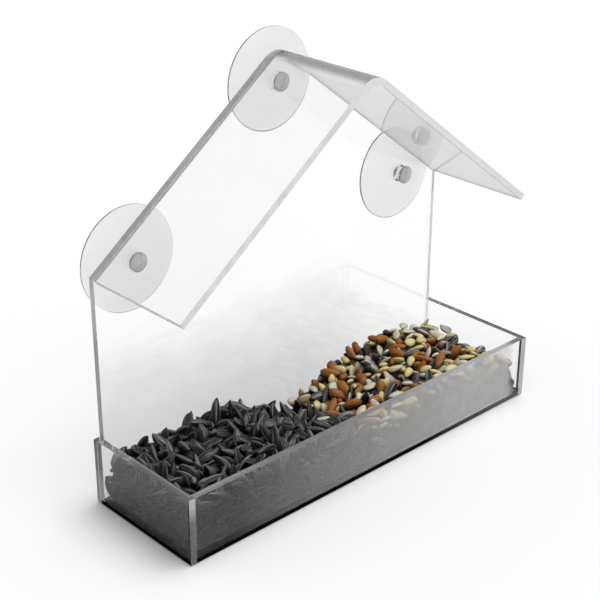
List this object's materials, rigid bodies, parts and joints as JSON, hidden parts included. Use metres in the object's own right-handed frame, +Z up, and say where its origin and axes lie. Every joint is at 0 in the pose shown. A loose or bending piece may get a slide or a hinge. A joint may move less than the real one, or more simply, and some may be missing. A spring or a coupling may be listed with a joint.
{
  "type": "window bird feeder",
  "caption": "Clear house-shaped bird feeder with a bent roof and an open seed tray, held on a window pane by soft suction cups behind its back sheet.",
  "frame": {"origin": "middle of the tray's underside, in the plane that it stands on", "axes": "+X to the right seen from the front, -Y to the front and +Y to the window, +Z up"},
  "size_m": [0.2, 0.066, 0.1794],
  "materials": {
    "clear_sheet": "clear polished acrylic sheet",
    "soft_cup": "translucent soft vinyl"
  },
  "bodies": {
    "feeder": {"back_panel": "clear_sheet", "roof": "clear_sheet", "tray_left_wall": "clear_sheet", "tray_right_wall": "clear_sheet", "tray_front_wall": "clear_sheet", "tray_base": "clear_sheet"},
    "cup_top": {"suction_cup_top": "soft_cup"},
    "cup_left": {"suction_cup_left": "soft_cup"},
    "cup_right": {"suction_cup_right": "soft_cup"}
  },
  "joints": [
    {"name": "cup_top_turn", "type": "hinge", "parent": "feeder", "child": "cup_top", "pos_m": [0, 0.0305, 0.1572], "axis": [0, 1, 0], "continuous": true},
    {"name": "cup_left_turn", "type": "hinge", "parent": "feeder", "child": "cup_left", "pos_m": [-0.0754, 0.0305, 0.0999], "axis": [0, 1, 0], "continuous": true},
    {"name": "cup_right_turn", "type": "hinge", "parent": "feeder", "child": "cup_right", "pos_m": [0.0754, 0.0305, 0.0999], "axis": [0, 1, 0], "continuous": true}
  ]
}
